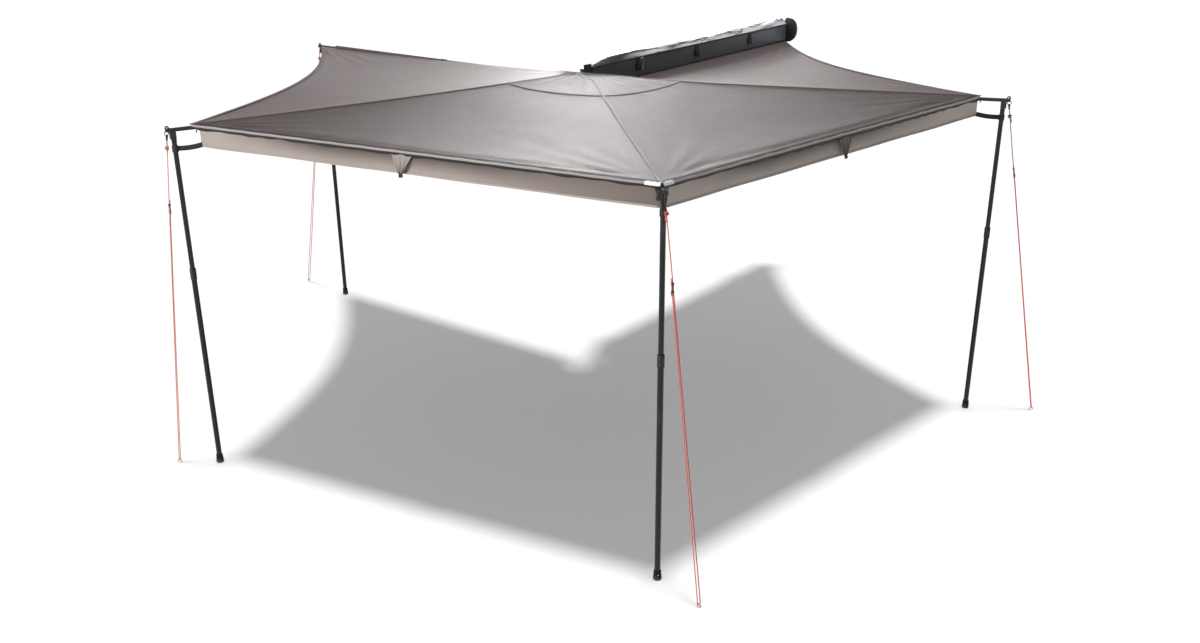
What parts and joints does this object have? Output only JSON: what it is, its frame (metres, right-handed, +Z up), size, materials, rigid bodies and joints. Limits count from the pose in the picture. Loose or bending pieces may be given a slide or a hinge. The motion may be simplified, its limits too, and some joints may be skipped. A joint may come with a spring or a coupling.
{
  "type": "vehicle side awning",
  "caption": "Fan-shaped vehicle awning on a roof-rack case: hinged arms with telescopic legs, a taut fabric canopy, valances and guy ropes; arms and legs fold away into the case.",
  "frame": {"origin": "centre of the underside of the rear rack bracket, where it lies on the roof rack", "axes": "+X away from the vehicle, +Y forward along the case, +Z up; the ground is 1.870 m below the origin"},
  "size_m": [5.2598, 4.856, 2.151],
  "materials": {
    "rail": "dark anodised",
    "bracket": "black powder coat",
    "steel": "zinc plated",
    "panel": "coated, satin",
    "cover": "glossy coated",
    "strap": "webbing",
    "end_cap": "matte",
    "arm": "black anodised",
    "leg": "black anodised, satin",
    "plastic": "matte",
    "rubber": "matte",
    "canopy": "coated, semi-gloss",
    "valance": "coated, satin",
    "rope": "braided"
  },
  "bodies": {
    "case": {"base_rail": "rail", "cover_panel": "panel", "rear_end_cap": "end_cap", "front_end_cap": "end_cap", "cover_fold": "cover", "cover_strap_1": "strap", "cover_strap_2": "strap", "cover_strap_3": "strap", "rack_bracket_rear": "bracket", "rack_bracket_front": "bracket", "hub_bracket": "bracket", "hub_pin": "steel", "hub_nut": "steel"},
    "arm_1": {"arm_1_knuckle": "bracket", "arm_1_tube": "arm", "arm_1_tip": "bracket", "canopy_panel_1": "canopy", "rope_1": "rope", "tensioner_1": "plastic", "peg_1": "steel"},
    "leg_1_upper": {"leg_1_upper_tube": "leg"},
    "leg_1_lower": {"leg_1_lower_tube": "leg", "leg_1_foot": "rubber"},
    "leg_1_lock": {"leg_1_collar": "plastic"},
    "arm_2": {"arm_2_knuckle": "bracket", "arm_2_tube": "arm", "arm_2_tip": "bracket", "canopy_panel_2": "canopy", "valance_1": "valance", "rope_2": "rope", "tensioner_2": "plastic", "peg_2": "steel"},
    "leg_2_upper": {"leg_2_upper_tube": "leg"},
    "leg_2_lower": {"leg_2_lower_tube": "leg", "leg_2_foot": "rubber"},
    "leg_2_lock": {"leg_2_collar": "plastic"},
    "arm_3": {"arm_3_knuckle": "bracket", "arm_3_tube": "arm", "arm_3_tip": "bracket", "canopy_panel_3": "canopy", "valance_2": "valance", "rope_3": "rope", "tensioner_3": "plastic", "peg_3": "steel"},
    "leg_3_upper": {"leg_3_upper_tube": "leg"},
    "leg_3_lower": {"leg_3_lower_tube": "leg", "leg_3_foot": "rubber"},
    "leg_3_lock": {"leg_3_collar": "plastic"},
    "arm_4": {"arm_4_knuckle": "bracket", "arm_4_tube": "arm", "arm_4_tip": "bracket", "arm_4_clamp": "plastic", "canopy_panel_4": "canopy", "rope_4": "rope", "tensioner_4": "plastic", "peg_4": "steel"},
    "leg_4_upper": {"leg_4_upper_tube": "leg"},
    "leg_4_lower": {"leg_4_lower_tube": "leg", "leg_4_foot": "rubber"},
    "leg_4_lock": {"leg_4_collar": "plastic"}
  },
  "joints": [
    {"name": "arm_1_swing", "type": "hinge", "parent": "case", "child": "arm_1", "pos_m": [0.1936, -0.45, -0.018], "axis": [0, 0, 1], "range_deg": [0, 66.9], "deforming": ["canopy_panel_1", "rope_1"]},
    {"name": "leg_1_fold", "type": "hinge", "parent": "arm_1", "child": "leg_1_upper", "pos_m": [2.32009, 0.52878, -0.056], "axis": [-0.3923, 0.9198, 0], "range_deg": [0, 90]},
    {"name": "leg_1_slide", "type": "slide", "parent": "leg_1_upper", "child": "leg_1_lower", "axis": [0, 0, 1], "range_m": [-0.2, 0.6]},
    {"name": "leg_1_twist", "type": "hinge", "parent": "leg_1_lower", "child": "leg_1_lock", "pos_m": [2.32009, 0.52878, -0.77], "axis": [0, 0, 1], "range_deg": [0, 90]},
    {"name": "arm_2_swing", "type": "hinge", "parent": "arm_1", "child": "arm_2", "pos_m": [0.1936, -0.45, -0.018], "axis": [0, 0, 1], "range_deg": [0, 66.9], "deforming": ["canopy_panel_2", "valance_1", "rope_2"]},
    {"name": "leg_2_fold", "type": "hinge", "parent": "arm_2", "child": "leg_2_upper", "pos_m": [1.89775, -2.05374, -0.056], "axis": [0.6921, 0.7218, 0], "range_deg": [0, 90]},
    {"name": "leg_2_slide", "type": "slide", "parent": "leg_2_upper", "child": "leg_2_lower", "axis": [0, 0, 1], "range_m": [-0.2, 0.6]},
    {"name": "leg_2_twist", "type": "hinge", "parent": "leg_2_lower", "child": "leg_2_lock", "pos_m": [1.89775, -2.05374, -0.77], "axis": [0, 0, 1], "range_deg": [0, 90]},
    {"name": "arm_3_swing", "type": "hinge", "parent": "arm_2", "child": "arm_3", "pos_m": [0.1936, -0.45, -0.018], "axis": [0, 0, 1], "range_deg": [0, 66.9], "deforming": ["canopy_panel_3", "valance_2", "rope_3"]},
    {"name": "leg_3_fold", "type": "hinge", "parent": "arm_3", "child": "leg_3_upper", "pos_m": [-0.65411, -2.63116, -0.056], "axis": [0.9354, -0.3535, 0], "range_deg": [0, 90]},
    {"name": "leg_3_slide", "type": "slide", "parent": "leg_3_upper", "child": "leg_3_lower", "axis": [0, 0, 1], "range_m": [-0.2, 0.6]},
    {"name": "leg_3_twist", "type": "hinge", "parent": "leg_3_lower", "child": "leg_3_lock", "pos_m": [-0.65411, -2.63116, -0.77], "axis": [0, 0, 1], "range_deg": [0, 90]},
    {"name": "arm_4_swing", "type": "hinge", "parent": "arm_3", "child": "arm_4", "pos_m": [0.1936, -0.45, -0.018], "axis": [0, 0, 1], "range_deg": [0, 66.9], "deforming": ["canopy_panel_4", "rope_4"]},
    {"name": "leg_4_fold", "type": "hinge", "parent": "arm_4", "child": "leg_4_upper", "pos_m": [-2.14711, -0.48205, -0.056], "axis": [0.0419, -0.9991, 0], "range_deg": [0, 90]},
    {"name": "leg_4_slide", "type": "slide", "parent": "leg_4_upper", "child": "leg_4_lower", "axis": [0, 0, 1], "range_m": [-0.2, 0.6]},
    {"name": "leg_4_twist", "type": "hinge", "parent": "leg_4_lower", "child": "leg_4_lock", "pos_m": [-2.14711, -0.48205, -0.77], "axis": [0, 0, 1], "range_deg": [0, 90]}
  ],
  "couplings": [
    {"joint": "arm_2_swing", "follows": "arm_1_swing", "ratio": 1},
    {"joint": "arm_3_swing", "follows": "arm_1_swing", "ratio": 1},
    {"joint": "arm_4_swing", "follows": "arm_1_swing", "ratio": 1}
  ]
}
